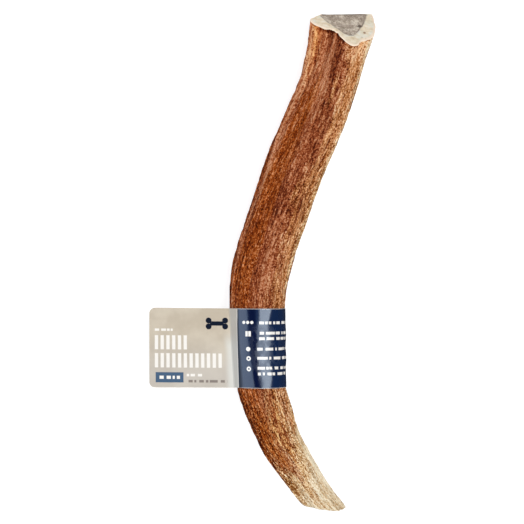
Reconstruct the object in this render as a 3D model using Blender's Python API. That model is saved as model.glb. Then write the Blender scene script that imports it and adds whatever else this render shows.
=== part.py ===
"""Elk antler dog chew: a sawn length of shed antler with a printed label wrapped round it.

The chew lies on its side on a table. Seen from above, +Y runs to the thick sawn end (the butt),
+X to the right and +Z up. Sizes are written in millimetres and turned into metres by MM.
"""

import math
from typing import NamedTuple

import bmesh
import bpy
import numpy as np
from mathutils.geometry import convex_hull_2d

MM = 0.001
FULL_TURN = 2 * math.pi


class Station(NamedTuple):
    """One cross-section of the antler, in millimetres."""

    x: float  # centre, seen from above
    y: float
    width: float  # across, seen from above
    depth: float  # underside to top
    lift: float  # underside above the table
    ridge: float  # 0 is an oval section, 1 the butt's ridged one


# From just past the butt's saw cut to just past the tip's. The antler touches the table near
# both ends and at its bend, and stands clear of it under the label.
STATIONS = (
    Station(42.8, 134.0, 37.0, 27.0, 0.0, 1.0),
    Station(40.4, 118.3, 34.9, 26.4, 0.0, 1.0),
    Station(38.5, 110.0, 32.4, 26.2, 0.0, 0.95),
    Station(36.6, 102.0, 31.0, 26.2, 0.0, 0.85),
    Station(27.1, 72.4, 30.2, 26.5, 0.9, 0.6),
    Station(14.5, 41.8, 29.8, 26.5, 0.7, 0.45),
    Station(3.7, 11.2, 29.6, 26.3, 0.0, 0.35),
    Station(-1.95, -13.0, 29.8, 25.5, 1.0, 0.28),
    Station(-2.8, -36.0, 27.4, 24.0, 1.9, 0.22),
    Station(0.35, -66.0, 23.4, 21.5, 1.8, 0.2),
    Station(4.0, -77.5, 22.7, 20.6, 1.4, 0.2),
    Station(7.9, -88.5, 21.6, 19.5, 0.8, 0.2),
    Station(17.1, -103.8, 18.6, 17.3, 0.2, 0.18),
    Station(27.4, -118.8, 16.4, 15.3, 0.0, 0.12),
    Station(39.0, -132.5, 15.4, 13.8, 0.0, 0.1),
)

# The butt's section beside an oval: how far it reaches, every 30 degrees from 7 degrees above
# the right. A ridge stands up right of the middle, with a flat hollow flank to its left.
BUTT_REACH = (1.02, 1.06, 1.2, 0.5, 0.45, 0.78, 1.04, 0.78, 0.88, 1.0, 1.3, 1.22)
BUTT_REACH_ANGLES = np.radians(7 + 30 * np.arange(12))
BUTT_REACH_SHARPNESS = 14
WEAR = 0.35  # the underside is worn flat this deep where it touches the table

# The relief of the skin: broad lumps, and ridges that run down the antler between grooves.
SEED = 11
LUMP_HEIGHT = 0.35
RIDGE_HEIGHT = 0.30
GROOVE_DEPTH = 0.40
GROOVE_WIDTH = 0.35

# Saw cuts. The butt has a sloping cut that faces up, and a square one behind it, with a crease
# between them.
BUTT_CREASE = (41.0, 127.6, 4.5)
BUTT_TURN = math.radians(-12)
BUTT_SLOPE = math.radians(40.4)
BUTT_BACK_TURN = math.radians(1.8)
BUTT_BACK_SLOPE = math.radians(2.9)
TIP_POINT = (31.0, -125.5, 8.0)
TIP_TURN = math.radians(177)
TIP_SLOPE = math.radians(-14)
BUTT_ROUNDING = 0.5
TIP_ROUNDING = 2.2

# The label: a strip of coated paper drawn tight round the antler, its two ends glued face to
# face as a flag that stands out to the left.
LABEL_TOP = -23.3
LABEL_HEIGHT = 40.2
LABEL_THICKNESS = 0.3
LABEL_GAP = 0.4
FLAG_END_X = -57.4
FLAG_END_Z = 15.5
FOLD_TOP = (-16.6, 20.4)  # x and z of the fold where the two ends part, at the label's top edge
FOLD_BOTTOM = (-14.0, 17.6)
FLAG_RADIUS = 2.8

# How finely the solids are faceted.
AROUND = 40
BODY_RINGS = 72
CORNER_RINGS = 3
FACE_RINGS = 3
LABEL_AROUND = 34
FLAG_COLUMNS = 4
LABEL_ROWS = 5
FLAG_CORNER_ROWS = 4

# How finely curves are followed when they are measured.
OUTLINE_SAMPLES = 180
CREASE_SAMPLES = 720
HALVINGS = 40
HEADING_STEP = 0.5

ANTLER_BROWN = (0.30, 0.12, 0.05, 1.0)
LABEL_BEIGE = (0.60, 0.54, 0.45, 1.0)


class Cut(NamedTuple):
    """A saw cut: a point on it, and the direction of the waste."""

    point: np.ndarray
    normal: np.ndarray


def saw(point, turn, slope):
    """A cut through a point, its waste turned from +Y about the vertical, then tipped upwards."""
    level = math.cos(slope)
    normal = (-math.sin(turn) * level, math.cos(turn) * level, math.sin(slope))
    return Cut(np.array(point), np.array(normal))


BUTT_CUTS = (
    saw(BUTT_CREASE, BUTT_TURN, BUTT_SLOPE),
    saw(BUTT_CREASE, BUTT_BACK_TURN, BUTT_BACK_SLOPE),
)
TIP_CUTS = (saw(TIP_POINT, TIP_TURN, TIP_SLOPE),)


def unit_outline(ridge, phi):
    """A section about one across, before it is fitted to its width and depth."""
    nearness = np.exp(BUTT_REACH_SHARPNESS * np.cos(phi[:, None] - BUTT_REACH_ANGLES))
    reach = 1 + ridge * (nearness @ BUTT_REACH / nearness.sum(axis=1) - 1)
    return reach * np.cos(phi), reach * np.sin(phi)


def fitted(station):
    """A station as a row: centre, scale and shift across, scale and shift up, and ridge."""
    across, up = unit_outline(station.ridge, np.linspace(0, FULL_TURN, OUTLINE_SAMPLES))
    across_scale = station.width / np.ptp(across)
    up_scale = station.depth / np.ptp(up)
    across_shift = -across_scale * (across.max() + across.min()) / 2
    up_shift = station.lift - WEAR - up_scale * up.min()
    return (
        station.x,
        station.y,
        across_scale,
        across_shift,
        up_scale,
        up_shift,
        station.ridge,
    )


ROWS = np.array([fitted(station) for station in STATIONS])
KNOTS = np.concatenate([[0], np.cumsum(np.hypot(*np.diff(ROWS[:, :2], axis=0).T))])
LENGTH = KNOTS[-1]


def second_derivatives(knots, rows):
    """What makes a piecewise cubic through the rows bend without a break."""
    step = np.diff(knots)
    slope = np.diff(rows, axis=0) / step[:, None]
    system = np.diag(2 * (step[:-1] + step[1:]))
    system += np.diag(step[1:-1], 1) + np.diag(step[1:-1], -1)
    bend = np.zeros_like(rows)
    bend[1:-1] = np.linalg.solve(system, 6 * np.diff(slope, axis=0))
    return bend


BEND = second_derivatives(KNOTS, ROWS)


def along(distance):
    """The fitted rows at distances down the antler, on a smooth curve through the stations."""
    left = np.clip(np.searchsorted(KNOTS, distance) - 1, 0, len(KNOTS) - 2)
    step = (KNOTS[left + 1] - KNOTS[left])[:, None]
    before = (distance - KNOTS[left])[:, None]
    after = step - before
    cubic = (BEND[left] * after**3 + BEND[left + 1] * before**3) / (6 * step)
    start = (ROWS[left] / step - BEND[left] * step / 6) * after
    end = (ROWS[left + 1] / step - BEND[left + 1] * step / 6) * before
    return cubic + start + end


def ripples(seed, count, around, wavelength):
    """Random waves on the skin: crests around it, crests per millimetre down it, and phase."""
    rng = np.random.default_rng(seed)
    crests = rng.integers(around[0], around[1] + 1, count)
    pitch = rng.uniform(1 / wavelength[1], 1 / wavelength[0], count) * rng.choice((-1, 1), count)
    return np.stack([crests, FULL_TURN * pitch, rng.uniform(0, FULL_TURN, count)], axis=1)


LUMPS = ripples(SEED, 7, around=(1, 3), wavelength=(60, 160))
RIDGES = ripples(SEED + 1, 12, around=(4, 8), wavelength=(90, 260))


def field(waves, distance, phi):
    """The sum of some waves on the skin, mostly between -2 and 2."""
    total = sum(np.cos(n * phi + k * distance + phase) for n, k, phase in waves)
    return total * math.sqrt(2 / len(waves))


def relief(distance, phi):
    """How far the skin stands out from the fitted outline."""
    ridges = field(RIDGES, distance, phi)
    grooves = np.exp(-((ridges / GROOVE_WIDTH) ** 2))
    lumps = field(LUMPS, distance, phi)
    return LUMP_HEIGHT * lumps + RIDGE_HEIGHT * ridges - GROOVE_DEPTH * grooves


def skin(distance, phi):
    """Points of the antler's skin, at distances down it and angles round it (0 right, 90 up)."""
    x, y, across_scale, across_shift, up_scale, up_shift, ridge = along(distance).T
    heading = along(distance + HEADING_STEP)[:, :2] - along(distance - HEADING_STEP)[:, :2]
    heading /= np.linalg.norm(heading, axis=1)[:, None]
    across, up = unit_outline(ridge, phi)
    out = relief(distance, phi)
    sideways = across_shift + across_scale * across + out * np.cos(phi)
    height = np.maximum(up_shift + up_scale * up + out * np.sin(phi), 0)
    return np.stack([x - heading[:, 1] * sideways, y + heading[:, 0] * sideways, height], axis=1)


def past(points, cuts):
    """How far points are into the waste of any of the cuts."""
    return np.max([(points - cut.point) @ cut.normal for cut in cuts], axis=0)


def crossing(phi, cuts, inside, outside):
    """For each angle, the distance down the antler at which its line meets the cuts."""
    inside = np.full(len(phi), float(inside))
    outside = np.full(len(phi), float(outside))
    for _ in range(HALVINGS):
        middle = (inside + outside) / 2
        beyond = past(skin(middle, phi), cuts) > 0
        outside = np.where(beyond, middle, outside)
        inside = np.where(beyond, inside, middle)
    return inside


def butt_turns():
    """Angles round the antler for the mesh's lines, two of them at the ends of the crease."""
    turns = FULL_TURN * np.arange(AROUND) / AROUND
    fine = np.linspace(0, FULL_TURN, CREASE_SAMPLES)
    rim = skin(crossing(fine, BUTT_CUTS, LENGTH / 2, 0), fine)
    slope, back = (past(rim, [cut]) for cut in BUTT_CUTS)
    for i in np.flatnonzero(np.diff(np.sign(slope - back))):
        turns[np.argmin(np.abs(turns - fine[i]))] = fine[i]
    return turns


def sawn_end(phi, centre, rim, inwards, rounding):
    """Rings from the middle of a sawn face out over its rounded edge onto the skin."""
    corner = skin(rim, phi)
    reach = np.linalg.norm(corner - centre, axis=1)[:, None]
    edge = corner + (centre - corner) * rounding / reach
    start = skin(rim + inwards * rounding, phi)
    rings = [centre + (edge - centre) * share for share in np.arange(FACE_RINGS) / FACE_RINGS]
    for t in np.arange(CORNER_RINGS) / CORNER_RINGS:
        rings.append((1 - t) ** 2 * edge + 2 * t * (1 - t) * corner + t**2 * start)
    return rings


def antler_rings(phi):
    """Rings of points from the middle of the butt's face, down the skin, to the tip's."""
    butt = crossing(phi, BUTT_CUTS, LENGTH / 2, 0)
    tip = crossing(phi, TIP_CUTS, LENGTH / 2, LENGTH)
    first, last = butt + BUTT_ROUNDING, tip - TIP_ROUNDING
    body = [skin(first + (last - first) * share, phi) for share in np.linspace(0, 1, BODY_RINGS)]
    butt_end = sawn_end(phi, np.array(BUTT_CREASE), butt, 1, BUTT_ROUNDING)
    tip_end = sawn_end(phi, skin(tip, phi).mean(axis=0), tip, -1, TIP_ROUNDING)
    return np.array(butt_end + body + tip_end[::-1])


def material(name, colour, roughness):
    """A plain surface of one colour."""
    made = bpy.data.materials.new(name)
    made.use_nodes = True
    shader = made.node_tree.nodes["Principled BSDF"]
    shader.inputs["Base Color"].default_value = colour
    shader.inputs["Roughness"].default_value = roughness
    return made


def add_object(name, bm, collection, surface):
    """A named object from a finished mesh, with smooth sides and sharp sawn edges."""
    mesh = bpy.data.meshes.new(name)
    bm.to_mesh(mesh)
    bm.free()
    mesh.materials.append(surface)
    mesh.shade_smooth()
    mesh.set_sharp_from_angle(angle=math.radians(35))
    made = bpy.data.objects.new(name, mesh)
    collection.objects.link(made)
    return made


def build_antler(collection):
    """A ball whose rings are laid out over the butt's face, down the beam and over the tip's."""
    rings = antler_rings(butt_turns())
    bm = bmesh.new()
    bmesh.ops.create_uvsphere(bm, u_segments=AROUND, v_segments=len(rings) - 1, radius=1)
    for vert in bm.verts:
        ring = round(math.acos(max(-1, min(1, vert.co.z))) / math.pi * (len(rings) - 1))
        turn = round(-math.atan2(vert.co.y, vert.co.x) / FULL_TURN * AROUND) % AROUND
        vert.co = rings[ring][turn] * MM
    return add_object("antler", bm, collection, material("antler", ANTLER_BROWN, 0.6))


def label_levels():
    """Distances from the label's top edge to its rows, closer together by its rounded corners."""
    quarter = np.linspace(0, math.pi / 2, FLAG_CORNER_ROWS)
    corner = FLAG_RADIUS * (1 - np.cos(quarter))
    middle = np.linspace(FLAG_RADIUS, LABEL_HEIGHT - FLAG_RADIUS, LABEL_ROWS)
    return np.concatenate([corner[:-1], middle, LABEL_HEIGHT - corner[-2::-1]])


def antler_outline(y):
    """Where the antler's skin meets the upright plane at y, as x and z, with room to spare."""
    phi = FULL_TURN * np.arange(4 * AROUND) / (4 * AROUND)
    level = (Cut(np.array((0, y, 0)), np.array((0, -1, 0))),)
    outline = skin(crossing(phi, level, 0, LENGTH), phi)[:, [0, 2]]
    out = outline - outline.mean(axis=0)
    return outline + LABEL_GAP * out / np.linalg.norm(out, axis=1)[:, None]


def tight_loop(y, fold):
    """The inside of the label at y: drawn tight round the antler from the fold, over the top."""
    points = np.vstack([antler_outline(y), fold])
    hull = points[convex_hull_2d(points.tolist())][::-1]
    hull = np.roll(hull, -int(np.argmin(np.linalg.norm(hull - fold, axis=1))), axis=0)
    closed = np.vstack([hull, hull[:1]])
    length = np.concatenate([[0], np.cumsum(np.linalg.norm(np.diff(closed, axis=0), axis=1))])
    wanted = np.linspace(0, length[-1], LABEL_AROUND + 1)
    return np.stack([np.interp(wanted, length, closed[:, axis]) for axis in (0, 1)], axis=1)


def loop_outside(loop):
    """The loop moved out by the label's thickness, open at the fold."""
    edges = np.diff(loop, axis=0)
    normals = np.stack([-edges[:, 1], edges[:, 0]], axis=1)
    normals /= np.linalg.norm(normals, axis=1)[:, None]
    before = np.vstack([[(0, 1)], normals])
    after = np.vstack([normals, [(0, -1)]])
    mitre = (before + after) / (1 + np.sum(before * after, axis=1))[:, None]
    return loop + LABEL_THICKNESS * mitre


def label_section(level):
    """The label's outer and inner outline in the upright plane at one level."""
    share = level / LABEL_HEIGHT
    fold = (1 - share) * np.array(FOLD_TOP) + share * np.array(FOLD_BOTTOM)
    inset = FLAG_RADIUS - min(level, LABEL_HEIGHT - level, FLAG_RADIUS)
    left = FLAG_END_X + FLAG_RADIUS - math.sqrt(FLAG_RADIUS**2 - inset**2)
    columns = np.linspace(0, 1, FLAG_COLUMNS, endpoint=False)[:, None]
    flag = (1 - columns) * np.array((left, FLAG_END_Z)) + columns * fold
    loop = tight_loop(LABEL_TOP - level, fold)
    front = flag + (0, LABEL_THICKNESS)
    back = flag - (0, LABEL_THICKNESS)
    return np.vstack([front, loop_outside(loop), back[::-1]]), loop[:-1]


def row_of_verts(bm, outline, level):
    """New vertices for one outline."""
    return [bm.verts.new((x * MM, (LABEL_TOP - level) * MM, z * MM)) for x, z in outline]


def skin_between(bm, rows):
    """Faces between neighbouring closed rows of vertices."""
    for upper, lower in zip(rows, rows[1:]):
        for i, vert in enumerate(upper):
            following = (i + 1) % len(upper)
            bm.faces.new((vert, upper[following], lower[following], lower[i]))


def close_edge(bm, outer, inner):
    """The paper's cut edge at the label's top or bottom: the flag's two plies, then the loop."""
    last = len(outer) - 1
    for i in range(FLAG_COLUMNS - 1):
        bm.faces.new((outer[i], outer[i + 1], outer[last - i - 1], outer[last - i]))
    start, end = FLAG_COLUMNS, last - FLAG_COLUMNS
    bm.faces.new((outer[start - 1], outer[start], inner[0], outer[end], outer[end + 1]))
    for i in range(LABEL_AROUND):
        following = inner[(i + 1) % LABEL_AROUND]
        bm.faces.new((outer[start + i], outer[start + i + 1], following, inner[i]))


def build_label(collection):
    """The strip round the antler and its flag, as one piece of paper."""
    bm = bmesh.new()
    outer, inner = [], []
    for level in label_levels():
        outside, inside = label_section(level)
        outer.append(row_of_verts(bm, outside, level))
        inner.append(row_of_verts(bm, inside, level))
    skin_between(bm, outer)
    skin_between(bm, inner)
    close_edge(bm, outer[0], inner[0])
    close_edge(bm, outer[-1], inner[-1])
    bmesh.ops.recalc_face_normals(bm, faces=bm.faces)
    return add_object("label", bm, collection, material("label", LABEL_BEIGE, 0.35))


def centre_on_base(objects):
    """Moves the pieces together so that the origin is under the middle of them all."""
    corners = np.array([v.co for piece in objects for v in piece.data.vertices])
    low, high = corners.min(axis=0), corners.max(axis=0)
    for piece in objects:
        piece.location = (-(low[0] + high[0]) / 2, -(low[1] + high[1]) / 2, -low[2])


def main():
    for old in list(bpy.data.objects):
        bpy.data.objects.remove(old)
    chew = bpy.data.collections.new("elk_antler_chew")
    bpy.context.scene.collection.children.link(chew)
    centre_on_base([build_antler(chew), build_label(chew)])


main()
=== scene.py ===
"""Elk antler dog chew: the skin and sawn ends of the antler, its printed label, and a studio.

The chew lies on its side on a table. Seen from above, +Y runs to the thick sawn end (the butt),
+X to the right and +Z up. Sizes are written in millimetres and turned into metres by MM.
"""

import math
from functools import reduce
from typing import NamedTuple

import bpy
import numpy as np
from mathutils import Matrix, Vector
from mathutils.geometry import convex_hull_2d


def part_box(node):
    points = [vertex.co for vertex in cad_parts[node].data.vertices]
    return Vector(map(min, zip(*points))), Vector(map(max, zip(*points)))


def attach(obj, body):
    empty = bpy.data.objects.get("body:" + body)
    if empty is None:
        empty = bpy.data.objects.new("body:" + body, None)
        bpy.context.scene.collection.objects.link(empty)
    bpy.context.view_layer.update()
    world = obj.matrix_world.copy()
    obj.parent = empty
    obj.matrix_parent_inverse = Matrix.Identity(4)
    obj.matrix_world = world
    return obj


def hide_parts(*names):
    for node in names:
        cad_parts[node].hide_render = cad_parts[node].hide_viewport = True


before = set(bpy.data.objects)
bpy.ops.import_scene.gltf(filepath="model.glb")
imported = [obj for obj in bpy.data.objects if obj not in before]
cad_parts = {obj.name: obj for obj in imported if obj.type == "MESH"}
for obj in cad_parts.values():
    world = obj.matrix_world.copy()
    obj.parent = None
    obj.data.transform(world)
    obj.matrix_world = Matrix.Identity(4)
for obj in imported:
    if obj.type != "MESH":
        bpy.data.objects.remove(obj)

bl_info = {
    "name": "Elk antler chew",
    "version": (1, 0, 0),
    "blender": (4, 5, 0),
    "location": "3D View > Sidebar > Chew",
    "description": "Models a sawn elk antler chew with its printed paper label, and a studio for it",
    "category": "Add Mesh",
}

MM = 0.001
FULL_TURN = 2 * math.pi
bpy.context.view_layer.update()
ANTLER_BOX = np.array(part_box("antler")) / MM
LABEL_BOX = np.array(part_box("label")) / MM


class Station(NamedTuple):
    """One cross-section of the antler, in millimetres."""

    x: float  # centre, seen from above
    y: float
    width: float  # across, seen from above
    depth: float  # underside to top
    lift: float  # underside above the table
    ridge: float  # 0 is an oval section, 1 the butt's ridged one


# From just past the butt's saw cut to just past the tip's.
STATIONS = tuple(Station(*row) for row in (
    (42.8, 134.0, 37.0, 27.0, 0.0, 1.0),
    (40.4, 118.3, 34.9, 26.4, 0.0, 1.0),
    (38.5, 110.0, 32.4, 26.2, 0.0, 0.95),
    (36.6, 102.0, 31.0, 26.2, 0.0, 0.85),
    (27.1, 72.4, 30.2, 26.5, 0.9, 0.6),
    (14.5, 41.8, 29.8, 26.5, 0.7, 0.45),
    (3.7, 11.2, 29.6, 26.3, 0.0, 0.35),
    (-1.95, -13.0, 29.8, 25.5, 1.0, 0.28),
    (-2.8, -36.0, 27.4, 24.0, 1.9, 0.22),
    (0.35, -66.0, 23.4, 21.5, 1.8, 0.2),
    (4.0, -77.5, 22.7, 20.6, 1.4, 0.2),
    (7.9, -88.5, 21.6, 19.5, 0.8, 0.2),
    (17.1, -103.8, 18.6, 17.3, 0.2, 0.18),
    (27.4, -118.8, 16.4, 15.3, 0.0, 0.12),
    (39.0, -132.5, 15.4, 13.8, 0.0, 0.1),
))

# The butt's section beside an oval: how far it reaches, every 30 degrees from 7 degrees above
# the right. A ridge stands up right of the middle, with a flat hollow flank to its left.
BUTT_REACH = (1.02, 1.06, 1.2, 0.5, 0.45, 0.78, 1.04, 0.78, 0.88, 1.0, 1.3, 1.22)
BUTT_REACH_ANGLES = np.radians(7 + 30 * np.arange(12))
BUTT_REACH_SHARPNESS = 14
WEAR = 0.35  # the underside is worn flat this deep where it touches the table

# The broad relief of the skin: lumps, and ridges that run down the antler between grooves.
SEED = 11
LUMP_HEIGHT = 0.35
RIDGE_HEIGHT = 0.30
GROOVE_DEPTH = 0.40
GROOVE_WIDTH = 0.35

# Hollows of the skin near the butt, on both sides of its ridge: angle and width in degrees, and
# depth. The last is a swelling.
BUTT_HOLLOWS = (
    (38, 11, 1.5),
    (73, 8, 1.3),
    (87, 19, 2.9),
    (108, 9, 0.8),
    (126, 14, 1.8),
    (139, 9, 0.9),
    (154, 11, 2.4),
    (192, 8, 1.2),
    (203, 14, 1.7),
    (308, 11, -3.0),
)

# Long streaks of the skin that are lighter or darker: angle and width in degrees, where they
# start and end down the antler, and how much lighter they are. A few are painted light and
# shade, marked below.
TONE_STREAKS = (
    (132, 11, 0, 14, -0.30),
    (112, 10, 0, 22, -0.16),
    (38, 20, 0, 32, 0.24),
    (78, 14, 0, 40, -0.20),
    (153, 9, 0, 42, -0.13),
    (97, 10, 0, 58, 0.20),
    (170, 9, 0, 60, 0.19),
    (58, 12, 0, 64, 0.12),
    (160, 18, 8, 44, 0.13),
    (178, 12, 12, 46, 0.07),
    (22, 10, 16, 26, 0.12),
    (158, 14, 18, 46, 0.05),
    (100, 12, 22, 42, 0.06),
    (148, 5, 24, 50, 0.16),
    (116, 12, 28, 60, 0.10),
    (130, 14, 30, 46, 0.09),
    (132, 10, 32, 46, 0.10),
    (77, 10, 32, 108, -0.09),
    (22, 10, 34, 44, -0.14),
    (98, 9, 34, 82, 0.05),
    (157, 9, 48, 60, 0.08),
    # Painted highlight: a thin light line down the left edge.
    (166, 5, 58, 125, 0.30),
    (41, 9, 62, 94, 0.07),
    (156, 9, 78, 92, 0.07),
    # Painted shade: a dark line along the left edge.
    (180, 10, 80, 250, -0.16),
    (158, 9, 90, 112, 0.22),
    (22, 12, 94, 110, -0.08),
    (99, 6, 97, 102, -0.26),
    (134, 10, 108, 128, -0.12),
    (78, 10, 108, 160, 0.12),
    (95, 8, 110, 124, -0.08),
    (157, 9, 110, 140, -0.07),
    # Painted highlight: the thin light line down the left edge, further on.
    (160, 5, 125, 185, 0.30),
    (42, 24, 140, 156, 0.12),
    (78, 10, 140, 160, 0.12),
    (113, 8, 140, 160, -0.10),
    (142, 14, 206, 230, -0.14),
    (76, 10, 206, 240, 0.15),
    (110, 34, 206, 246, 0.07),
    (44, 12, 208, 222, 0.12),
    (96, 10, 208, 222, 0.08),
    (163, 12, 219, 236, -0.36),
    (71, 9, 222, 234, 0.12),
    (130, 40, 232, 250, 0.09),
    (104, 28, 243, 266, 0.18),
    # Painted highlight on the right of the tip, where the light falls.
    (14, 20, 246, 275, 0.25),
    (163, 14, 248, 268, -0.14),
)

STREAK_FADE_IN = 8
STREAK_FADE_OUT = 12

# Saw cuts. The butt has a sloping cut that faces up, and a square one behind it, with a crease
# between them.
BUTT_CREASE = (41.0, 127.6, 4.5)
BUTT_TURN = math.radians(-12)
BUTT_SLOPE = math.radians(40.4)
BUTT_BACK_TURN = math.radians(1.8)
BUTT_BACK_SLOPE = math.radians(2.9)
TIP_POINT = (31.0, -125.5, 8.0)
TIP_TURN = math.radians(177)
TIP_SLOPE = math.radians(-14)
BUTT_ROUNDING = 0.5
TIP_ROUNDING = 2.0
TIP_ROUNDING_LEAN = 0.6  # it is this share less on the right and more on the left

# The marrow's outline in the butt, as x and z. It is convex and runs clockwise from the left.
MARROW = (
    *((29.2, 8.5), (33.1, 12.2), (41.6, 17.9), (44.0, 18.6), (46.4, 17.8), (49.0, 14.2)),
    *((51.6, 9.6), (53.3, 4.4), (54.2, 1.4), (46.0, 1.8), (34.0, 4.0)),
)

# Dark spots of the sloping cut: x, z, radius and strength.
BUTT_SPOTS = (
    (50.0, 10.2, 2.0, 0.75),
    (45.2, 17.2, 1.3, 0.55),
    (52.2, 14.4, 1.1, 0.8),
    (50.6, 18.0, 0.9, 0.3),
)

# The label: a strip of coated paper drawn tight round the antler, its two ends glued face to
# face as a flag that stands out to the left.
LABEL_TOP = -23.3
LABEL_HEIGHT = 40.2
LABEL_GAP = 0.4
FLAG_END_X = -57.4
FLAG_END_Z = 15.5
FOLD_TOP = (-16.6, 20.4)  # x and z of the fold where the two ends part, at the label's top edge
FOLD_BOTTOM = (-14.0, 17.6)
FLAG_RADIUS = 2.8
LABEL_MIDDLE = 185  # how far down the antler it is
LABEL_EASE = 0.75  # by what share the skin is smoother there
STRIP_LENGTH = 180.0  # what the label's UV map calls 1

# The print, in millimetres along the strip from the front of the flag and down from its top.
NAVY_START = 46.3
NAVY_END = 122.0
NAVY_LINES = (7.1, 12.3, 15.05, 20.3, 24.9, 29.95, 32.85)
NAVY_LEAN = 0.07  # how far the navy's shading moves on with each millimetre down
SIGN_MIDDLE = 52.6
RING_PLACES = (25.1, 30.35)
FOLD_START = 41.1  # where the flag's shade begins beside the fold, at the top edge
FOLD_LEAN = 0.0585  # how far that moves on with each millimetre down
BONE_ENDS = (30.6, 39.0)
BACK_START = 140.0
BACK_LINES = ((26, 9.0), (30, 12.0), (22, 15.0))  # how long they are, and how far down
BAR_WIDTH = 1.7
BAR_PITCH = 2.95
PRINT_BLUR = 0.12

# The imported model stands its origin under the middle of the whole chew.
SHIFT = np.array([LABEL_BOX[0, 0] - FLAG_END_X, LABEL_BOX[1, 1] - LABEL_TOP, 0])

# How finely curves are followed when they are measured.
OUTLINE_SAMPLES = 180
HALVINGS = 40
HEADING_STEP = 0.5


def paint(code):
    """A colour of six hex digits as a shader wants it, and anything else as it is."""
    if not isinstance(code, str):
        return code
    channels = [int(code[i : i + 2], 16) / 255 for i in (0, 2, 4)]
    return (*(c / 12.92 if c < 0.04 else ((c + 0.055) / 1.055) ** 2.4 for c in channels), 1.0)


def colour_setting(name, description, code):
    """A colour that a user may change."""
    return bpy.props.FloatVectorProperty(
        name=name, description=description, subtype="COLOR", size=4, min=0, max=1, default=paint(code)
    )


def number_setting(name, description, default, **kind):
    """A number that a user may change."""
    return bpy.props.FloatProperty(name=name, description=description, default=default, min=0, **kind)


def length_setting(name, description, default):
    """A length that a user may change, its default given in millimetres."""
    return number_setting(name, description, default * MM, unit="LENGTH", precision=5)


class AntlerSettings(bpy.types.PropertyGroup):
    """Sizes and colours of the antler."""

    streak_height: length_setting("Streaks", "Height of the fine streaks down the skin", 0.1)
    bead_height: length_setting("Beads", "Height of the small beads on the skin", 0.05)
    torn: length_setting("Torn marrow", "How far the saw tore the marrow out", 0.35)
    groove_colour: colour_setting("Grooves", "Skin at the bottom of its grooves", "3c1004")
    orange_colour: colour_setting("Orange", "Skin of the beam's left side", "92420c")
    red_colour: colour_setting("Red brown", "Skin of the beam's middle", "8e4624")
    tan_colour: colour_setting("Tan", "Rubbed crests of the red skin", "ca8e68")
    gold_colour: colour_setting("Gold", "Skin of the beam's right side", "be7a48")
    worn_colour: colour_setting("Worn", "Skin that is worn thin near the tip", "d0a068")
    cream_colour: colour_setting("Cream", "Cut cortex", "f4e2c4")
    marrow_colour: colour_setting("Marrow", "Spongy core of the sawn butt", "c2b09c")


class LabelSettings(bpy.types.PropertyGroup):
    """Sizes and colours of the label."""

    paper: length_setting("Paper", "Thickness of the paper", 0.15)
    skew: length_setting("Skew", "How far the back of the flag hangs below its front", 0.5)
    wave: length_setting("Waves", "Height of the waves in the paper", 0.1)
    beige: colour_setting("Beige", "Ground of the flag", "d0c2ac")
    navy: colour_setting("Navy", "Ground of the band round the antler", "0d2142")
    white: colour_setting("White", "Light print and cut paper", "f6efe4")
    badge: colour_setting("Badge", "Plain badge on the flag", "4a6078")
    ink: colour_setting("Ink", "Dark print on the flag", "101828")


class StageSettings(bpy.types.PropertyGroup):
    """The camera and the lights."""

    lens: number_setting("Lens", "Focal length of the camera", 120, subtype="DISTANCE_CAMERA")
    camera_height: number_setting("Camera height", "Height above the table", 0.903, unit="LENGTH")
    key: number_setting("Key", "Brightness of the large softbox", 5.6)
    side: number_setting("Side", "Brightness of the left card", 1.9)
    ends: number_setting("Ends", "Brightness of the end lights", 0.8)
    air: number_setting("Air", "Brightness of the room", 0.04)


class Cut(NamedTuple):
    """A saw cut: a point on it, and the direction of the waste."""

    point: np.ndarray
    normal: np.ndarray

    def height(self, x, z):
        """How far along Y the cut is at x and z."""
        away = np.array((x - self.point[0], z - self.point[2]))
        return self.point[1] - away @ self.normal[[0, 2]] / self.normal[1]


def saw(point, turn, slope):
    """A cut through a point, its waste turned from +Y about the vertical, then tipped upwards."""
    level = math.cos(slope)
    normal = (-math.sin(turn) * level, math.cos(turn) * level, math.sin(slope))
    return Cut(np.array(point), np.array(normal))


BUTT_CUTS = (
    saw(BUTT_CREASE, BUTT_TURN, BUTT_SLOPE),
    saw(BUTT_CREASE, BUTT_BACK_TURN, BUTT_BACK_SLOPE),
)
TIP_CUTS = (saw(TIP_POINT, TIP_TURN, TIP_SLOPE),)


def smooth(low, high, value):
    """0 at low, 1 at high, and an even slope between them."""
    share = np.clip((value - low) / (high - low), 0, 1)
    return share * share * (3 - 2 * share)


def unit_outline(ridge, phi):
    """A section about one across, before it is fitted to its width and depth."""
    nearness = np.exp(BUTT_REACH_SHARPNESS * np.cos(phi[:, None] - BUTT_REACH_ANGLES))
    reach = 1 + ridge * (nearness @ BUTT_REACH / nearness.sum(axis=1) - 1)
    return reach * np.cos(phi), reach * np.sin(phi)


def fitted(station):
    """A station as a row: centre, scale and shift across, scale and shift up, and ridge."""
    across, up = unit_outline(station.ridge, np.linspace(0, FULL_TURN, OUTLINE_SAMPLES))
    across_scale = station.width / np.ptp(across)
    up_scale = station.depth / np.ptp(up)
    across_shift = -across_scale * (across.max() + across.min()) / 2
    up_shift = station.lift - WEAR - up_scale * up.min()
    return station.x, station.y, across_scale, across_shift, up_scale, up_shift, station.ridge


ROWS = np.array([fitted(station) for station in STATIONS])
KNOTS = np.concatenate([[0], np.cumsum(np.hypot(*np.diff(ROWS[:, :2], axis=0).T))])
LENGTH = KNOTS[-1]


def unit(vectors):
    """Vectors made 1 long."""
    return vectors / np.linalg.norm(vectors, axis=-1)[..., None]


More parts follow.
